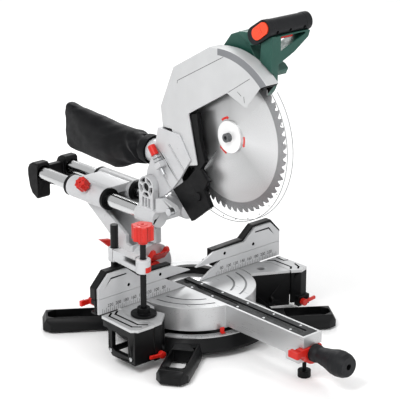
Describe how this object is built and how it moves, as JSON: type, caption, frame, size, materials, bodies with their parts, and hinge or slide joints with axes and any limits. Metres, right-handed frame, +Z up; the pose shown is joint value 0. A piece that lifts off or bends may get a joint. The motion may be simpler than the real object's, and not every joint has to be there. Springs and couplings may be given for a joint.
{
  "type": "sliding mitre saw",
  "caption": "Sliding compound mitre saw with turntable, tilting head on twin rails, guarded blade, dust bag, clamp and four-legged base.",
  "frame": {"origin": "on the floor, at the centre of the rectangle of four bench bolts, under the turntable's pivot and the fence's front face", "axes": "+Z up, +X along the fence to the operator's right, +Y from the operator towards the rear bracket of the rails"},
  "size_m": [0.532, 0.937, 0.6898],
  "materials": {
    "black_casting": "fine satin",
    "silver_casting": "satin",
    "machined_table": "brushed",
    "blade_steel": "ground",
    "zinc_steel": "satin",
    "rail_tube": "polished",
    "black_plastic": "fine grain",
    "charcoal_insert": "smooth",
    "red_plastic": "satin",
    "green_plastic": "fine grain",
    "grip_rubber": "soft touch",
    "foot_rubber": "matte",
    "bag_cloth": "woven",
    "clear_guard": "clear",
    "copper_winding": "wound"
  },
  "bodies": {
    "base": {"base_casting": "black_casting", "legs": "black_casting", "rubber_feet": "foot_rubber", "pivot_bolt": "zinc_steel", "table_plates": "machined_table", "scale_ring": "machined_table", "fence_lower": "silver_casting", "fence_support": "black_casting"},
    "ext_left": {"ext_left_top": "machined_table", "ext_left_frame": "black_casting"},
    "ext_right": {"ext_right_top": "machined_table", "ext_right_frame": "black_casting"},
    "ext_lever_left": {"ext_lever_left": "red_plastic"},
    "ext_lever_right": {"ext_lever_right": "red_plastic"},
    "fence_left": {"fence_left": "silver_casting"},
    "fence_right": {"fence_right": "silver_casting"},
    "fence_lever_left": {"fence_lever_left": "red_plastic"},
    "fence_lever_right": {"fence_lever_right": "red_plastic"},
    "clamp_post": {"clamp_post": "black_casting"},
    "clamp_arm": {"clamp_arm": "silver_casting"},
    "clamp_foot": {"clamp_pad": "black_plastic"},
    "clamp_spindle": {"clamp_screw": "black_casting", "clamp_knob": "red_plastic"},
    "turntable": {"turntable": "machined_table", "table_insert": "charcoal_insert", "mitre_pointer": "red_plastic", "bevel_bracket": "silver_casting"},
    "mitre_knob": {"mitre_knob": "grip_rubber"},
    "detent_lever": {"detent_lever": "red_plastic"},
    "arm_foot": {"arm_foot": "black_plastic"},
    "tilt_arm": {"tilt_arm": "silver_casting", "rail_housing": "silver_casting", "rail_seals": "black_plastic"},
    "bevel_lever": {"bevel_lever": "red_plastic"},
    "bevel_latch": {"bevel_latch": "red_plastic"},
    "slide_knob": {"slide_knob": "red_plastic"},
    "carriage": {"rails": "rail_tube", "rear_bracket": "black_plastic", "carriage": "silver_casting", "rail_cover": "black_plastic"},
    "transport_pin": {"transport_pin": "zinc_steel"},
    "head": {"head_arm": "silver_casting", "guard_shell": "silver_casting", "guard_liner": "black_plastic", "gear_case": "silver_casting", "motor_housing": "green_plastic", "handle_body": "green_plastic", "handle_grip": "grip_rubber", "dust_port": "black_plastic", "dust_bag": "bag_cloth", "drive_belt": "grip_rubber"},
    "depth_stop": {"depth_stop": "zinc_steel"},
    "lock_off_left": {"lock_off_left": "red_plastic"},
    "lock_off_right": {"lock_off_right": "red_plastic"},
    "trigger": {"trigger": "red_plastic"},
    "spindle_lock": {"spindle_lock": "black_plastic"},
    "lower_guard": {"lower_guard": "clear_guard"},
    "blade": {"blade": "blade_steel", "arbor": "zinc_steel"},
    "armature": {"armature": "copper_winding"}
  },
  "joints": [
    {"name": "ext_slide_left", "type": "slide", "parent": "base", "child": "ext_left", "axis": [-1, 0, 0], "range_m": [0, 0.024]},
    {"name": "ext_slide_right", "type": "slide", "parent": "base", "child": "ext_right", "axis": [1, 0, 0], "range_m": [0, 0.024]},
    {"name": "ext_lock_left", "type": "hinge", "parent": "base", "child": "ext_lever_left", "pos_m": [-0.182, -0.107, 0.028], "axis": [0, 1, 0], "range_deg": [0, 60]},
    {"name": "ext_lock_right", "type": "hinge", "parent": "ext_right", "child": "ext_lever_right", "pos_m": [0.224, -0.0983, 0.024], "axis": [0, 1, 0], "range_deg": [-60, 0]},
    {"name": "fence_slide_left", "type": "slide", "parent": "base", "child": "fence_left", "axis": [-1, 0, 0], "range_m": [0, 0.06]},
    {"name": "fence_slide_right", "type": "slide", "parent": "base", "child": "fence_right", "axis": [1, 0, 0], "range_m": [0, 0.06]},
    {"name": "fence_lock_left", "type": "hinge", "parent": "base", "child": "fence_lever_left", "pos_m": [-0.238, 0.0203, 0.113], "axis": [0, 1, 0], "range_deg": [0, 60]},
    {"name": "fence_lock_right", "type": "hinge", "parent": "base", "child": "fence_lever_right", "pos_m": [0.238, 0.0203, 0.113], "axis": [0, 1, 0], "range_deg": [-60, 0]},
    {"name": "clamp_turn", "type": "hinge", "parent": "base", "child": "clamp_post", "pos_m": [-0.183, 0.03, 0.1], "axis": [0, 0, 1], "range_deg": [-40, 40]},
    {"name": "clamp_lift", "type": "slide", "parent": "clamp_post", "child": "clamp_arm", "axis": [0, 0, 1], "range_m": [0, 0.045]},
    {"name": "clamp_feed", "type": "slide", "parent": "clamp_arm", "child": "clamp_foot", "axis": [0, 0, 1], "range_m": [0, 0.03]},
    {"name": "clamp_spin", "type": "hinge", "parent": "clamp_foot", "child": "clamp_spindle", "pos_m": [-0.18, -0.055, 0.2], "axis": [0, 0, 1], "continuous": true},
    {"name": "mitre_turn", "type": "hinge", "parent": "base", "child": "turntable", "pos_m": [0, 0, 0.06], "axis": [0, 0, 1], "range_deg": [-47, 60]},
    {"name": "mitre_lock", "type": "hinge", "parent": "turntable", "child": "mitre_knob", "pos_m": [0, -0.4, 0.059], "axis": [0, 1, 0], "range_deg": [0, 180]},
    {"name": "detent_press", "type": "slide", "parent": "turntable", "child": "detent_lever", "axis": [0, 0, -1], "range_m": [0, 0.003], "stiffness_N_per_m": 900, "springref_m": -0.001},
    {"name": "arm_foot_raise", "type": "slide", "parent": "turntable", "child": "arm_foot", "axis": [0, 0, 1], "range_m": [0, 0.008]},
    {"name": "bevel_tilt", "type": "hinge", "parent": "turntable", "child": "tilt_arm", "pos_m": [0, 0.14, 0.095], "axis": [0, 1, 0], "range_deg": [-33, 2]},
    {"name": "bevel_lock", "type": "hinge", "parent": "tilt_arm", "child": "bevel_lever", "pos_m": [0, 0.21, 0.095], "axis": [0, 1, 0], "range_deg": [-40, 0]},
    {"name": "bevel_latch_turn", "type": "hinge", "parent": "turntable", "child": "bevel_latch", "pos_m": [0, 0.126, 0.122], "axis": [1, 0, 0], "range_deg": [-20, 0]},
    {"name": "slide_lock", "type": "hinge", "parent": "tilt_arm", "child": "slide_knob", "pos_m": [-0.04, 0.278, 0.233], "axis": [-0.7431, 0, 0.6691], "range_deg": [0, 270]},
    {"name": "rail_slide", "type": "slide", "parent": "tilt_arm", "child": "carriage", "axis": [0, -1, 0], "range_m": [-0.1, 0.1]},
    {"name": "transport_lock", "type": "slide", "parent": "carriage", "child": "transport_pin", "axis": [-1, 0, 0], "range_m": [0, 0.01]},
    {"name": "head_chop", "type": "hinge", "parent": "carriage", "child": "head", "pos_m": [0, 0.088, 0.296], "axis": [1, 0, 0], "range_deg": [0, 49]},
    {"name": "depth_stop_turn", "type": "hinge", "parent": "head", "child": "depth_stop", "pos_m": [-0.044, 0.066, 0.37], "axis": [0, 0.6157, 0.788], "range_deg": [0, 360]},
    {"name": "lock_off_left_press", "type": "slide", "parent": "head", "child": "lock_off_left", "axis": [1, 0, 0], "range_m": [0, 0.003], "stiffness_N_per_m": 300, "springref_m": -0.002},
    {"name": "lock_off_right_press", "type": "slide", "parent": "head", "child": "lock_off_right", "axis": [-1, 0, 0], "range_m": [0, 0.003], "stiffness_N_per_m": 300, "springref_m": -0.002},
    {"name": "trigger_press", "type": "slide", "parent": "head", "child": "trigger", "axis": [0, 0, 1], "range_m": [0, 0.006], "stiffness_N_per_m": 300, "springref_m": -0.003},
    {"name": "spindle_lock_press", "type": "slide", "parent": "head", "child": "spindle_lock", "axis": [-1, 0, 0], "range_m": [0, 0.006], "stiffness_N_per_m": 300, "springref_m": -0.002},
    {"name": "lower_guard_turn", "type": "hinge", "parent": "head", "child": "lower_guard", "pos_m": [0, -0.113, 0.44], "axis": [1, 0, 0], "range_deg": [-147, 0]},
    {"name": "blade_spin", "type": "hinge", "parent": "head", "child": "blade", "pos_m": [0, -0.113, 0.44], "axis": [1, 0, 0], "continuous": true},
    {"name": "motor_spin", "type": "hinge", "parent": "head", "child": "armature", "pos_m": [0, -0.022, 0.52], "axis": [1, 0, 0], "continuous": true}
  ],
  "couplings": [
    {"joint": "lower_guard_turn", "follows": "head_chop", "ratio": -3},
    {"joint": "motor_spin", "follows": "blade_spin", "ratio": 2.5}
  ]
}
